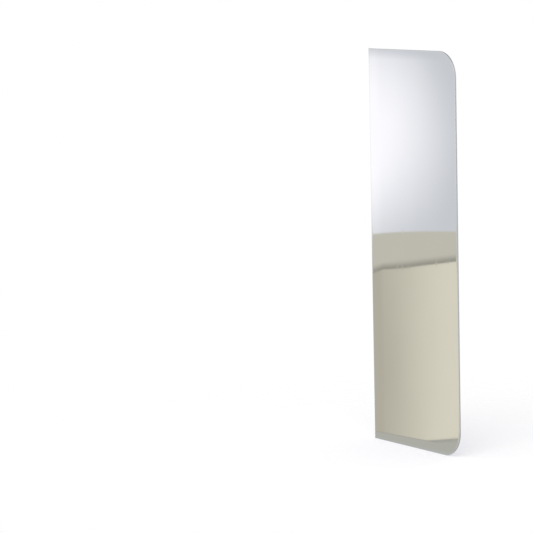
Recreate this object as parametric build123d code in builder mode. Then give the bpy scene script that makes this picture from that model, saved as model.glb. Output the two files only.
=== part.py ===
from build123d import *
import os

# Icing smoother: one flat plate of stainless sheet, with nothing fixed to it.
# It stands upright here on its foot, the short lower edge.
# +X runs from the scraping edge to the grip edge, +Z up from the foot,
# and the origin is the middle of the foot, half way through the sheet.

# Driving dimensions, in millimetres
plate_height = 250.0  # foot to top
plate_width = 90.0  # scraping edge to grip edge
sheet_thickness = 1.0
grip_corner_radius = 16.0  # the two corners that lie in the palm
edge_rounding_radius = 0.25  # left by deburring and polishing, along both faces

# A rounding this deep still leaves a flat strip along the middle of the cut edge.
deepest_rounding_share = 0.45
edge_rounding = min(edge_rounding_radius, sheet_thickness * deepest_rounding_share)


# Smoother plate: blanked outline, extruded to the gauge of the sheet, then its edges eased.
# The two corners of the scraping edge stay square in outline.
with BuildPart() as smoother_plate:
    with BuildSketch(Plane.XZ):
        Rectangle(plate_width, plate_height, align=(Align.CENTER, Align.MIN))
        grip_corners = vertices().group_by(Axis.X)[-1]
        fillet(grip_corners, grip_corner_radius)
    extrude(amount=sheet_thickness / 2, both=True)
    front_outline = faces().sort_by(Axis.Y)[0].edges()
    back_outline = faces().sort_by(Axis.Y)[-1].edges()
    fillet(front_outline + back_outline, edge_rounding)

smoother_plate.part.label = "smoother_plate"

os.makedirs("parts", exist_ok=True)
export_step(smoother_plate.part, "parts/smoother_plate.step")
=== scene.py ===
import math

import bmesh
import bpy
from mathutils import Matrix, Vector


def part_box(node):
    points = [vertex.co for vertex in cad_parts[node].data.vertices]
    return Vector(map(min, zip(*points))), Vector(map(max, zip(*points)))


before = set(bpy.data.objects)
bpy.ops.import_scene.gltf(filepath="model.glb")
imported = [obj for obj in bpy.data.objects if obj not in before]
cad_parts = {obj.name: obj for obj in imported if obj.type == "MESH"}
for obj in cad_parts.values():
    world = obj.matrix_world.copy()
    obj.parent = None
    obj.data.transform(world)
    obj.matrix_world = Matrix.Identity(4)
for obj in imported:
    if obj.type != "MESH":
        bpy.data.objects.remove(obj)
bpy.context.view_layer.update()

# An icing smoother: one tall plate of polished stainless sheet, standing on its foot.
# The frame is in metres: +X from the scraping edge to the grip edge, -Y out of the face shown, +Z up.

MM = 0.001
PLATE_LOW, PLATE_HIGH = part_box("smoother_plate")
PLATE_MIDDLE = (PLATE_LOW + PLATE_HIGH) / 2
HALF_HEIGHT = PLATE_HIGH.z - PLATE_MIDDLE.z
GRIP_CORNER = 16 * MM  # radius of the two corners that lie in the palm

# The photographer's camera, as the plate's outline gives it
CAMERA_PLACE = Vector((1.3460, -0.9866, 0.3212))
CAMERA_HEADING = math.radians(56.93)  # turned from +Y towards -X
CAMERA_LEVEL = math.radians(90)  # from looking straight down, as a new camera does, to level
CAMERA_DIP = math.radians(6.98)  # looking a little down
CAMERA_ROLL = math.radians(-1.27)
CAMERA_LENS = 181.75  # mm, on a sensor 36 mm wide
SENSOR_WIDTH = 36.0

# Light, where a strength of 1 shows white as white
WHITE = 1.0
PURE_WHITE = "#FFFFFF"
ROOM_LEVEL = 0.78  # even light from the pale room
LAMP_LEVEL = 1.75  # brightness of the lamp's face, which adds the rest of the light on the table
LAMP_PLACE = Vector((0.75, -0.85, 1.25))
LAMP_WIDTH = 1.25

# The polished faces mirror the room: a white wall that darkens overhead, and a pale floor.
# A direction in the room is two angles: turned from +X towards +Y, and its height above the horizon.
STRAIGHT_UP = math.radians(90)
ROOM_OVERHEAD = 0.45
FLOOR_PALE = "#EAEBEC"
FLOOR_BEGINS = math.radians(-6.35)
LINE_SOFTNESS = math.radians(0.02)  # how far to either side a line in the room is blurred

# A cream card, folded twice, lies on the room's floor, where the lower half of the plate mirrors it in the
# picture.
# Its light and shade are painted into its colours: the far flap is a shaded cream, darkened further by a
# painted shade towards the first fold. The middle one is a lit cream, with painted light that grows towards
# the grip side.
# The near one is a shaded cream, with a painted shade along the second fold.
CARD_FAR_IN_SHADE = "#F3EDD8"
CARD_MIDDLE_IN_LIGHT = "#FFF6DD"
CARD_NEAR_IN_SHADE = "#DEDBCC"
CARD_DIRECTION = math.radians(-143.8)
CARD_HALF_WIDTHS = (math.radians(1.2), math.radians(3.0))  # from full cream to none
CARD_NEAR_END = (math.radians(-12.3), math.radians(-11.3))  # from none to full cream
CARD_SHADED, CARD_LIT = 0.76, 1.17  # painted light on the middle flap, from its dim side to its bright side
CARD_SHADE_ENDS = (math.radians(-144.8), math.radians(-143.0))
FIRST_FOLD = math.radians(-7.03)
FIRST_FOLD_SLANT = 0.1  # how far it rises for its way towards the grip side
FIRST_FOLD_SHADE, FIRST_FOLD_REACH = 0.56, math.radians(0.17)
SECOND_FOLD = math.radians(-10.70)
SECOND_FOLD_SHADE, SECOND_FOLD_REACH = 0.75, math.radians(0.08)

# An oval soft box stands by the wall, and the upper half of the plate mirrors it in the picture.
BOX_DIRECTION = math.radians(-145.1)
BOX_HEIGHT = math.radians(-4.2)
BOX_HALF_WIDTH = math.radians(2.55)
BOX_HALF_HEIGHT = math.radians(3.2)
BOX_RIM = 0.79  # share of its half width over which it fades
BOX_BRIGHT = 0.74
BOX_TONE = "#FFF9F7"

# Tall soft strips stand side by side round the table, and lean, so that a face mirrors the slanting edge of
# one from most sides. A strip is bright along one edge and fades across its width. None stands near the
# soft box.
STRIP_WIDTH = math.radians(7.5)
STRIP_LEAN = 0.5  # how far a strip leans sideways for its height
STRIP_START = math.radians(-89.3)
STRIP_RISE = math.radians(0.8)  # how far across it takes to grow bright
STRIP_BRIGHT = 1.55
STRIP_DARK = 0.84
STRIP_ENDS = (math.radians(35), math.radians(60))  # height above or below the horizon where they fade out
STRIPS_BEGIN = (math.radians(3.0), math.radians(5.0))  # how far from the soft box they fade in

# The table top: a round pale sheet, warm in tone, which melts into the room from near its middle to its rim
TABLE_RADIUS = 0.28
TABLE_SIDES = 128
TABLE_FADE_STARTS = 0.02
TABLE_WARM = "#DFDCD2"
TABLE_LACKS = "#999CAB"  # what the warm sheet lacks to be white

# Noise for patterns. Most of its values lie in its middle stretch. A plain one has no finer noise on it.
NOISE_MIDDLE = 0.5
NOISE_STRETCH = (0.3, 0.7)
PLAIN_NOISE = 0.0

# The mirror polish. Rolled sheet is never quite flat: wide shallow swells bend what it mirrors.
STEEL_LIGHT = "#C6C9CE"
STEEL_DARK = "#C3C6CB"
SWELL_PITCH = 80 * MM
SWELL_HEIGHT = 0.10 * MM
# Buffing lines run up the plate. Real ones are some 0.05 mm apart, and these are drawn 1.2 mm apart, so
# that they show.
BUFFING_PITCH = 1.2 * MM
BUFFING_LENGTH = 70 * MM
BUFFING_DEPTH = 0.0002 * MM
BUFFING_DETAIL = 3.0  # sets of finer lines among the coarse ones
BUFFING_FINE_SHARE = 0.6  # how strong each finer set is against the one before it
BUFFING_ROUGHNESS = 0.004
# The buff runs off the plate at both ends and over the scraping edge: how far in this begins, and how much
# it takes off.
END_REACH, END_DEPTH = 6.5 * MM, 0.04 * MM
SCRAPING_REACH, SCRAPING_DEPTH = 12 * MM, 0.034 * MM
FALL_POWER = 2.0  # the face falls away in a curve, steepest at the edge
# It leaves patches of haze about 30 mm across.
HAZE_PITCH = 30 * MM
HAZE_DETAIL = 2.0
HAZE_ROUGHNESS = (0.008, 0.016)
# Hairline scratches come from wiping and from the drawer, at a slant to the lines. Real ones are under
# 0.05 mm wide, and these are drawn about 0.5 mm wide.
SCRATCH_SLANTS = (math.radians(-14), math.radians(9))
SCRATCH_SPACING = 6 * MM
SCRATCH_WIDTH = 0.5 * MM
SCRATCH_LENGTH = 45 * MM
SCRATCH_BREAKS = 3 * MM  # scratches that lie closer than this break off together
SCRATCH_SHOWS = (0.55, 0.70)  # noise at which a scratch starts to show, and at which it shows whole
SCRATCH_ROUGHNESS = 0.012
# Near the rim the polish is dulled by use.
WEAR_WIDTH = (0.3 * MM, 2.0 * MM)
WEAR_ROUGHNESS = 0.06
# The cut edge is matt from deburring, and its grain is drawn 0.8 mm across, coarser than a fine file
# leaves it. Its tint is kept darker than the face's as painted shade, so that the edges draw the outline.
EDGE_LIGHT = "#B0B1B2"
EDGE_DARK = "#A6A7A9"
EDGE_GRAIN = 0.8 * MM
EDGE_GRAIN_DETAIL = 1.0
EDGE_ROUGHNESS = (0.26, 0.38)
EDGE_BEGINS = (0.99, 0.85)  # how squarely the surface faces front or back, from all polish to all edge


def colour(code):
    """The linear colour of an sRGB hex value."""
    def linear(byte):
        share = byte / 255
        return share / 12.92 if share <= 0.04045 else ((share + 0.055) / 1.055) ** 2.4

    return tuple(linear(int(code[i:i + 2], 16)) for i in (1, 3, 5)) + (1.0,)


def add(tree, kind, inputs=None, **settings):
    """Adds a node. An input takes a value, or the output of another node."""
    node = tree.nodes.new(kind)
    for name, value in settings.items():
        setattr(node, name, value)
    for name, value in (inputs or {}).items():
        if isinstance(value, bpy.types.NodeSocket):
            tree.links.new(value, node.inputs[name])
        else:
            node.inputs[name].default_value = value
    return node


def new_material(name):
    """An empty material and the tree that its nodes go into."""
    material = bpy.data.materials.new(name)
    material.use_nodes = True
    material.node_tree.nodes.clear()
    return material, material.node_tree


def aim_camera():
    """The photographer's camera: turned towards the plate, dipped and rolled."""
    lens = bpy.data.cameras.new("photo_camera")
    lens.lens = CAMERA_LENS
    lens.sensor_width = SENSOR_WIDTH
    camera = bpy.data.objects.new("photo_camera", lens)
    bpy.context.scene.collection.objects.link(camera)
    heading = Matrix.Rotation(CAMERA_HEADING, 4, "Z")
    dip = Matrix.Rotation(CAMERA_LEVEL - CAMERA_DIP, 4, "X")
    roll = Matrix.Rotation(CAMERA_ROLL, 4, "Z")
    camera.matrix_world = Matrix.Translation(CAMERA_PLACE) @ heading @ dip @ roll
    bpy.context.scene.camera = camera


def off_centre(tree, value, centre):
    """How far a value lies from a centre, to either side."""
    off = add(tree, "ShaderNodeMath", {0: value, 1: centre}, operation="SUBTRACT").outputs["Value"]
    return add(tree, "ShaderNodeMath", {0: off}, operation="ABSOLUTE").outputs["Value"]


def past_line(tree, height, line):
    """0 below a line in the room, and 1 above it."""
    return add(tree, "ShaderNodeMapRange", {
        "Value": height, "From Min": line - LINE_SOFTNESS, "From Max": line + LINE_SOFTNESS,
    }, interpolation_type="SMOOTHSTEP").outputs["Result"]


def ring_of_strips(tree, turned, height):
    """How much brighter or darker the leaning strips make the room in a direction. 1 leaves it as it is."""
    leaning = add(tree, "ShaderNodeMath", {0: height, 1: STRIP_LEAN, 2: turned}, operation="MULTIPLY_ADD")
    past_edge = add(tree, "ShaderNodeMath", {
        0: leaning.outputs["Value"], 1: STRIP_START,
    }, operation="SUBTRACT")
    across = add(tree, "ShaderNodeMath", {
        0: past_edge.outputs["Value"], 1: STRIP_WIDTH,
    }, operation="FLOORED_MODULO").outputs["Value"]
    rise = add(tree, "ShaderNodeMapRange", {
        "Value": across, "From Max": STRIP_RISE,
    }, interpolation_type="SMOOTHSTEP")
    fall = add(tree, "ShaderNodeMapRange", {
        "Value": across, "From Min": STRIP_RISE, "From Max": STRIP_WIDTH, "To Min": 1.0, "To Max": 0.0,
    })
    strip = add(tree, "ShaderNodeMath", {
        0: fall.outputs["Result"], 1: rise.outputs["Result"],
    }, operation="MULTIPLY")
    shade = add(tree, "ShaderNodeMix", {
        "Factor": strip.outputs["Value"], "A": STRIP_DARK, "B": STRIP_BRIGHT,
    })
    from_horizon = add(tree, "ShaderNodeMath", {0: height}, operation="ABSOLUTE")
    along = add(tree, "ShaderNodeMapRange", {
        "Value": from_horizon.outputs["Value"], "From Min": STRIP_ENDS[0], "From Max": STRIP_ENDS[1],
        "To Min": 1.0, "To Max": 0.0,
    }, interpolation_type="SMOOTHSTEP")
    clear_of_box = add(tree, "ShaderNodeMapRange", {
        "Value": off_centre(tree, turned, BOX_DIRECTION),
        "From Min": STRIPS_BEGIN[0], "From Max": STRIPS_BEGIN[1],
    }, interpolation_type="SMOOTHSTEP")
    here = add(tree, "ShaderNodeMath", {
        0: along.outputs["Result"], 1: clear_of_box.outputs["Result"],
    }, operation="MULTIPLY")
    return add(tree, "ShaderNodeMix", {
        "Factor": here.outputs["Value"], "A": WHITE, "B": shade.outputs["Result"],
    }).outputs["Result"]


def soft_box(tree, direction):
    """How bright the soft box is in a direction. It fades towards its rim."""
    level = math.cos(BOX_HEIGHT)
    centre = (math.cos(BOX_DIRECTION) * level, math.sin(BOX_DIRECTION) * level, math.sin(BOX_HEIGHT))
    from_centre = add(tree, "ShaderNodeMapping", {
        "Vector": direction, "Location": centre, "Rotation": (0.0, 0.0, BOX_DIRECTION),
        "Scale": (1.0, BOX_HALF_WIDTH, BOX_HALF_HEIGHT),
    }, vector_type="TEXTURE")
    box = add(tree, "ShaderNodeTexGradient", {
        "Vector": from_centre.outputs["Vector"],
    }, gradient_type="SPHERICAL")
    return add(tree, "ShaderNodeMapRange", {
        "Value": box.outputs["Fac"], "From Max": BOX_RIM, "To Max": BOX_BRIGHT,
    }, interpolation_type="SMOOTHSTEP").outputs["Result"]


def folded_card(tree, turned, height):
    """The colour of the cream card in a direction, with painted light and shade on its flaps."""
    # Painted light across the middle flap, brighter towards the grip side.
    across = add(tree, "ShaderNodeMapRange", {
        "Value": turned, "From Min": CARD_SHADE_ENDS[0], "From Max": CARD_SHADE_ENDS[1],
        "To Min": CARD_SHADED, "To Max": CARD_LIT,
    }, interpolation_type="SMOOTHSTEP")
    middle_flap = add(tree, "ShaderNodeVectorMath", {
        0: colour(CARD_MIDDLE_IN_LIGHT)[:3], "Scale": across.outputs["Result"],
    }, operation="SCALE")

    # The far flap, darkened by a painted shade towards the first fold.
    fold = add(tree, "ShaderNodeMath", {
        0: turned, 1: FIRST_FOLD_SLANT, 2: FIRST_FOLD - FIRST_FOLD_SLANT * CARD_DIRECTION,
    }, operation="MULTIPLY_ADD")
    above_fold = add(tree, "ShaderNodeMath", {
        0: height, 1: fold.outputs["Value"],
    }, operation="SUBTRACT").outputs["Value"]
    first_shade = add(tree, "ShaderNodeMapRange", {
        "Value": above_fold, "From Max": FIRST_FOLD_REACH, "To Min": FIRST_FOLD_SHADE,
    }, interpolation_type="SMOOTHSTEP")
    far_flap = add(tree, "ShaderNodeVectorMath", {
        0: colour(CARD_FAR_IN_SHADE)[:3], "Scale": first_shade.outputs["Result"],
    }, operation="SCALE")
    beyond_second = add(tree, "ShaderNodeMix", {
        "Factor": past_line(tree, above_fold, 0.0),
        "A": middle_flap.outputs["Vector"], "B": far_flap.outputs["Vector"],
    }, data_type="RGBA")

    # The near flap, darkened by a painted shade along the second fold.
    second_shade = add(tree, "ShaderNodeMapRange", {
        "Value": height, "From Min": SECOND_FOLD - SECOND_FOLD_REACH, "From Max": SECOND_FOLD,
        "To Min": 1.0, "To Max": SECOND_FOLD_SHADE,
    }, interpolation_type="SMOOTHSTEP")
    near_flap = add(tree, "ShaderNodeVectorMath", {
        0: colour(CARD_NEAR_IN_SHADE)[:3], "Scale": second_shade.outputs["Result"],
    }, operation="SCALE")
    return add(tree, "ShaderNodeMix", {
        "Factor": past_line(tree, height, SECOND_FOLD),
        "A": near_flap.outputs["Vector"], "B": beyond_second.outputs["Result"],
    }, data_type="RGBA").outputs["Result"]


def pale_floor(tree, turned, height):
    """The colour of the room's floor in a direction, with the cream card on it."""
    within_sides = add(tree, "ShaderNodeMapRange", {
        "Value": off_centre(tree, turned, CARD_DIRECTION),
        "From Min": CARD_HALF_WIDTHS[0], "From Max": CARD_HALF_WIDTHS[1], "To Min": 1.0, "To Max": 0.0,
    }, interpolation_type="SMOOTHSTEP")
    past_near_end = add(tree, "ShaderNodeMapRange", {
        "Value": height, "From Min": CARD_NEAR_END[0], "From Max": CARD_NEAR_END[1],
    }, interpolation_type="SMOOTHSTEP")
    on_card = add(tree, "ShaderNodeMath", {
        0: within_sides.outputs["Result"], 1: past_near_end.outputs["Result"],
    }, operation="MULTIPLY")
    return add(tree, "ShaderNodeMix", {
        "Factor": on_card.outputs["Value"], "A": colour(FLOOR_PALE), "B": folded_card(tree, turned, height),
    }, data_type="RGBA").outputs["Result"]


def light_room():
    """An even pale room. Only the polished metal sees its ceiling, floor, card, strips and soft box."""
    world = bpy.data.worlds.new("pale_studio")
    bpy.context.scene.world = world
    world.use_nodes = True
    tree = world.node_tree
    tree.nodes.clear()
    direction = add(tree, "ShaderNodeTexCoord").outputs["Generated"]
    axes = add(tree, "ShaderNodeSeparateXYZ", {"Vector": direction}).outputs
    turned = add(tree, "ShaderNodeMath", {0: axes["Y"], 1: axes["X"]}, operation="ARCTAN2").outputs["Value"]
    height = add(tree, "ShaderNodeMath", {0: axes["Z"]}, operation="ARCSINE").outputs["Value"]
    mirrored = add(tree, "ShaderNodeMapRange", {
        "Value": height, "From Max": STRAIGHT_UP, "To Min": WHITE, "To Max": ROOM_OVERHEAD,
    }, interpolation_type="SMOOTHSTEP").outputs["Result"]
    strips = ring_of_strips(tree, turned, height)
    mirrored = add(tree, "ShaderNodeMath", {0: mirrored, 1: strips}, operation="MULTIPLY").outputs["Value"]
    on_wall = past_line(tree, height, FLOOR_BEGINS)
    box = soft_box(tree, direction)
    box = add(tree, "ShaderNodeMath", {0: box, 1: on_wall}, operation="MULTIPLY").outputs["Value"]
    mirrored = add(tree, "ShaderNodeMath", {0: mirrored, 1: box}, operation="ADD").outputs["Value"]

    path = add(tree, "ShaderNodeLightPath").outputs
    on_objects = add(tree, "ShaderNodeMix", {
        "Factor": path["Is Glossy Ray"], "A": ROOM_LEVEL, "B": mirrored,
    })
    straight = add(tree, "ShaderNodeMath", {
        0: path["Is Camera Ray"], 1: path["Is Transmission Ray"],
    }, operation="MAXIMUM").outputs["Value"]
    strength = add(tree, "ShaderNodeMix", {
        "Factor": straight, "A": on_objects.outputs["Result"], "B": WHITE,
    })
    wall = add(tree, "ShaderNodeMix", {
        "Factor": box, "A": colour(PURE_WHITE), "B": colour(BOX_TONE),
    }, data_type="RGBA")
    room = add(tree, "ShaderNodeMix", {
        "Factor": on_wall, "A": pale_floor(tree, turned, height), "B": wall.outputs["Result"],
    }, data_type="RGBA")
    tone = add(tree, "ShaderNodeMix", {
        "Factor": straight, "A": room.outputs["Result"], "B": colour(PURE_WHITE),
    }, data_type="RGBA")
    background = add(tree, "ShaderNodeBackground", {
        "Color": tone.outputs["Result"], "Strength": strength.outputs["Result"],
    })
    add(tree, "ShaderNodeOutputWorld", {"Surface": background.outputs["Background"]})


def hang_lamp():
    """One large soft lamp above and beside the camera, for the shadow and the glint on the cut edges."""
    data = bpy.data.lights.new("soft_lamp", "AREA")
    data.shape = "SQUARE"
    data.size = LAMP_WIDTH
    # A lamp of this power shows LAMP_LEVEL on its face.
    data.energy = LAMP_LEVEL * math.pi * LAMP_WIDTH ** 2
    lamp = bpy.data.objects.new("soft_lamp", data)
    bpy.context.scene.collection.objects.link(lamp)
    lamp.location = LAMP_PLACE
    lamp.rotation_euler = (PLATE_MIDDLE - LAMP_PLACE).to_track_quat("-Z", "Y").to_euler()


def pale_sheet():
    """A matt warm pale table top, which the picture shows as white."""
    material, tree = new_material("pale_matt_sheet")
    path = add(tree, "ShaderNodeLightPath").outputs
    place = add(tree, "ShaderNodeTexCoord").outputs["Object"]
    distance = add(tree, "ShaderNodeVectorMath", {0: place}, operation="LENGTH").outputs["Value"]
    solid = add(tree, "ShaderNodeMapRange", {
        "Value": distance, "From Min": TABLE_FADE_STARTS, "From Max": TABLE_RADIUS,
        "To Min": 1.0, "To Max": 0.0,
    }, interpolation_type="SMOOTHSTEP").outputs["Result"]
    matt = add(tree, "ShaderNodeBsdfDiffuse", {"Color": colour(TABLE_WARM)})
    straight = add(tree, "ShaderNodeMath", {
        0: path["Is Camera Ray"], 1: path["Is Transmission Ray"],
    }, operation="MAXIMUM")
    glow = add(tree, "ShaderNodeEmission", {
        "Color": colour(TABLE_LACKS), "Strength": straight.outputs["Value"],
    })
    lit = add(tree, "ShaderNodeAddShader", {0: matt.outputs["BSDF"], 1: glow.outputs["Emission"]})
    # From below the sheet is clear, so that the foot can be seen. To the metal it is clear too, so that the
    # polish mirrors the room's floor.
    underside = add(tree, "ShaderNodeNewGeometry").outputs["Backfacing"]
    clear_here = add(tree, "ShaderNodeMath", {0: underside, 1: path["Is Glossy Ray"]}, operation="MAXIMUM")
    seen = add(tree, "ShaderNodeMath", {0: 1.0, 1: clear_here.outputs["Value"]}, operation="SUBTRACT")
    shown = add(tree, "ShaderNodeMath", {0: solid, 1: seen.outputs["Value"]}, operation="MULTIPLY")
    clear = add(tree, "ShaderNodeBsdfTransparent")
    sheet = add(tree, "ShaderNodeMixShader", {
        0: shown.outputs["Value"], 1: clear.outputs["BSDF"], 2: lit.outputs["Shader"],
    })
    add(tree, "ShaderNodeOutputMaterial", {"Surface": sheet.outputs["Shader"]})
    return material


def lay_table():
    """The round sheet under the foot, which catches the shadow."""
    mesh = bpy.data.meshes.new("table_top")
    shape = bmesh.new()
    bmesh.ops.create_circle(shape, cap_ends=True, segments=TABLE_SIDES, radius=TABLE_RADIUS)
    shape.to_mesh(mesh)
    shape.free()
    table = bpy.data.objects.new("table_top", mesh)
    bpy.context.scene.collection.objects.link(table)
    mesh.materials.append(pale_sheet())


def edge_distances(tree, place):
    """How far a point of the broad face lies from the nearer end, the scraping edge and the whole rim.

    All three are in metres."""
    axes = add(tree, "ShaderNodeSeparateXYZ", {"Vector": place}).outputs
    off_middle = off_centre(tree, axes["Z"], PLATE_MIDDLE.z)
    from_end = add(tree, "ShaderNodeMath", {0: HALF_HEIGHT, 1: off_middle}, operation="SUBTRACT")
    from_scraping = add(tree, "ShaderNodeMath", {0: axes["X"], 1: PLATE_LOW.x}, operation="SUBTRACT")

    # Past the centre of a palm corner in both directions the rim is an arc, and elsewhere it is straight.
    past = add(tree, "ShaderNodeCombineXYZ", {"X": axes["X"], "Z": off_middle})
    past = add(tree, "ShaderNodeVectorMath", {
        0: past.outputs["Vector"], 1: (PLATE_HIGH.x - GRIP_CORNER, 0.0, HALF_HEIGHT - GRIP_CORNER),
    }, operation="SUBTRACT").outputs["Vector"]
    in_corner = add(tree, "ShaderNodeVectorMath", {0: past, 1: (0.0, 0.0, 0.0)}, operation="MAXIMUM")
    on_arc = add(tree, "ShaderNodeVectorMath", {0: in_corner.outputs["Vector"]}, operation="LENGTH")
    past = add(tree, "ShaderNodeSeparateXYZ", {"Vector": past}).outputs
    inside = add(tree, "ShaderNodeMath", {0: past["X"], 1: past["Z"]}, operation="MAXIMUM")
    inside = add(tree, "ShaderNodeMath", {0: inside.outputs["Value"], 1: 0.0}, operation="MINIMUM")
    reach = add(tree, "ShaderNodeMath", {
        0: on_arc.outputs["Value"], 1: inside.outputs["Value"],
    }, operation="ADD")
    from_grip = add(tree, "ShaderNodeMath", {
        0: GRIP_CORNER, 1: reach.outputs["Value"],
    }, operation="SUBTRACT")
    from_rim = add(tree, "ShaderNodeMath", {
        0: from_grip.outputs["Value"], 1: from_scraping.outputs["Value"],
    }, operation="MINIMUM")
    return tuple(node.outputs["Value"] for node in (from_end, from_scraping, from_rim))


def polished_relief(tree, place, buffing, from_end, from_scraping):
    """How far the polished face stands proud of a true plane, in metres."""
    swell = add(tree, "ShaderNodeTexNoise", {
        "Vector": place, "Scale": 1 / SWELL_PITCH, "Detail": PLAIN_NOISE,
    })
    relief = add(tree, "ShaderNodeMath", {0: swell.outputs["Fac"], 1: SWELL_HEIGHT}, operation="MULTIPLY")
    relief = add(tree, "ShaderNodeMath", {
        0: buffing, 1: BUFFING_DEPTH, 2: relief.outputs["Value"],
    }, operation="MULTIPLY_ADD")
    for from_edge, reach, depth in (
        (from_end, END_REACH, END_DEPTH),
        (from_scraping, SCRAPING_REACH, SCRAPING_DEPTH),
    ):
        near_edge = add(tree, "ShaderNodeMapRange", {
            "Value": from_edge, "From Max": reach, "To Min": 1.0, "To Max": 0.0,
        })
        fall = add(tree, "ShaderNodeMath", {
            0: near_edge.outputs["Result"], 1: FALL_POWER,
        }, operation="POWER")
        relief = add(tree, "ShaderNodeMath", {
            0: fall.outputs["Value"], 1: -depth, 2: relief.outputs["Value"],
        }, operation="MULTIPLY_ADD")
    return relief.outputs["Value"]


def hairline_scratches(tree, place, slant):
    """How rough one set of scratches makes the face."""
    turned = add(tree, "ShaderNodeMapping", {
        "Vector": place, "Rotation": (0.0, slant, 0.0),
    }).outputs["Vector"]
    across = add(tree, "ShaderNodeSeparateXYZ", {"Vector": turned}).outputs["X"]
    places = add(tree, "ShaderNodeTexNoise", {
        "W": across, "Scale": 1 / SCRATCH_SPACING, "Detail": PLAIN_NOISE,
    }, noise_dimensions="1D").outputs["Fac"]
    line = add(tree, "ShaderNodeMapRange", {
        "Value": off_centre(tree, places, NOISE_MIDDLE), "From Max": SCRATCH_WIDTH / 2 / SCRATCH_SPACING,
        "To Min": SCRATCH_ROUGHNESS, "To Max": 0.0,
    })
    lengths = add(tree, "ShaderNodeMapping", {
        "Vector": turned, "Scale": (1 / SCRATCH_BREAKS, 1 / SCRATCH_BREAKS, 1 / SCRATCH_LENGTH),
    })
    breaks = add(tree, "ShaderNodeTexNoise", {
        "Vector": lengths.outputs["Vector"], "Scale": 1.0, "Detail": PLAIN_NOISE,
    })
    here = add(tree, "ShaderNodeMapRange", {
        "Value": breaks.outputs["Fac"], "From Min": SCRATCH_SHOWS[0], "From Max": SCRATCH_SHOWS[1],
    })
    return add(tree, "ShaderNodeMath", {
        0: line.outputs["Result"], 1: here.outputs["Result"],
    }, operation="MULTIPLY").outputs["Value"]


def mirror_polished_stainless():
    """Stainless steel sheet, buffed to a mirror along its length, with its cut edges only deburred.

    The faces mirror the room with a trace of haze. The edges are matt, and darker by a painted shade,
    which draws the outline."""
    material, tree = new_material("mirror_polished_stainless")
    coordinates = add(tree, "ShaderNodeTexCoord").outputs
    place = coordinates["Object"]
    from_end, from_scraping, from_rim = edge_distances(tree, place)

    lines = add(tree, "ShaderNodeMapping", {
        "Vector": place, "Scale": (1 / BUFFING_PITCH, 1 / BUFFING_PITCH, 1 / BUFFING_LENGTH),
    })
    buffing = add(tree, "ShaderNodeTexNoise", {
        "Vector": lines.outputs["Vector"], "Scale": 1.0,
        "Detail": BUFFING_DETAIL, "Roughness": BUFFING_FINE_SHARE,
    }).outputs["Fac"]
    relief = polished_relief(tree, place, buffing, from_end, from_scraping)
    buffed = add(tree, "ShaderNodeBump", {"Distance": 1.0, "Height": relief})

    haze = add(tree, "ShaderNodeTexNoise", {
        "Vector": place, "Scale": 1 / HAZE_PITCH, "Detail": HAZE_DETAIL,
    }).outputs["Fac"]
    hazy = add(tree, "ShaderNodeMapRange", {
        "Value": haze, "From Min": NOISE_STRETCH[0], "From Max": NOISE_STRETCH[1],
        "To Min": HAZE_ROUGHNESS[0], "To Max": HAZE_ROUGHNESS[1],
    })
    lined = add(tree, "ShaderNodeMapRange", {
        "Value": buffing, "From Min": NOISE_STRETCH[0], "From Max": NOISE_STRETCH[1],
        "To Min": -BUFFING_ROUGHNESS, "To Max": BUFFING_ROUGHNESS,
    })
    worn = add(tree, "ShaderNodeMapRange", {
        "Value": from_rim, "From Min": WEAR_WIDTH[0], "From Max": WEAR_WIDTH[1],
        "To Min": WEAR_ROUGHNESS, "To Max": 0.0,
    }, interpolation_type="SMOOTHSTEP")
    roughness = hazy.outputs["Result"]
    scratches = [hairline_scratches(tree, place, slant) for slant in SCRATCH_SLANTS]
    for more in (lined.outputs["Result"], worn.outputs["Result"], *scratches):
        roughness = add(tree, "ShaderNodeMath", {0: roughness, 1: more}, operation="ADD").outputs["Value"]
    face = add(tree, "ShaderNodeMix", {
        "Factor": haze, "A": colour(STEEL_LIGHT), "B": colour(STEEL_DARK),
    }, data_type="RGBA")

    # The cut edge begins where the surface turns away from the broad face.
    facing = add(tree, "ShaderNodeSeparateXYZ", {"Vector": coordinates["Normal"]}).outputs["Y"]
    facing = add(tree, "ShaderNodeMath", {0: facing}, operation="ABSOLUTE").outputs["Value"]
    on_edge = add(tree, "ShaderNodeMapRange", {
        "Value": facing, "From Min": EDGE_BEGINS[0], "From Max": EDGE_BEGINS[1],
    }).outputs["Result"]
    grain = add(tree, "ShaderNodeTexNoise", {
        "Vector": place, "Scale": 1 / EDGE_GRAIN, "Detail": EDGE_GRAIN_DETAIL,
    }).outputs["Fac"]
    deburred = add(tree, "ShaderNodeMapRange", {
        "Value": grain, "To Min": EDGE_ROUGHNESS[0], "To Max": EDGE_ROUGHNESS[1],
    })
    # The edge's tint: its grain, under a painted shade that darkens it against the face.
    edge = add(tree, "ShaderNodeMix", {
        "Factor": grain, "A": colour(EDGE_LIGHT), "B": colour(EDGE_DARK),
    }, data_type="RGBA")

    roughness = add(tree, "ShaderNodeMix", {
        "Factor": on_edge, "A": roughness, "B": deburred.outputs["Result"],
    })
    tint = add(tree, "ShaderNodeMix", {
        "Factor": on_edge, "A": face.outputs["Result"], "B": edge.outputs["Result"],
    }, data_type="RGBA")
    steel = add(tree, "ShaderNodeBsdfPrincipled", {
        "Base Color": tint.outputs["Result"], "Metallic": 1.0,
        "Roughness": roughness.outputs["Result"], "Normal": buffed.outputs["Normal"],
    })
    add(tree, "ShaderNodeOutputMaterial", {"Surface": steel.outputs["BSDF"]})
    return material


def finish_plate():
    """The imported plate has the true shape, so it keeps its mesh and only takes its finish."""
    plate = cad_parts["smoother_plate"]
    plate.material_slots[0].link = "OBJECT"
    plate.material_slots[0].material = mirror_polished_stainless()


bpy.context.scene.view_settings.view_transform = "Standard"
aim_camera()
light_room()
hang_lamp()
lay_table()
finish_plate()
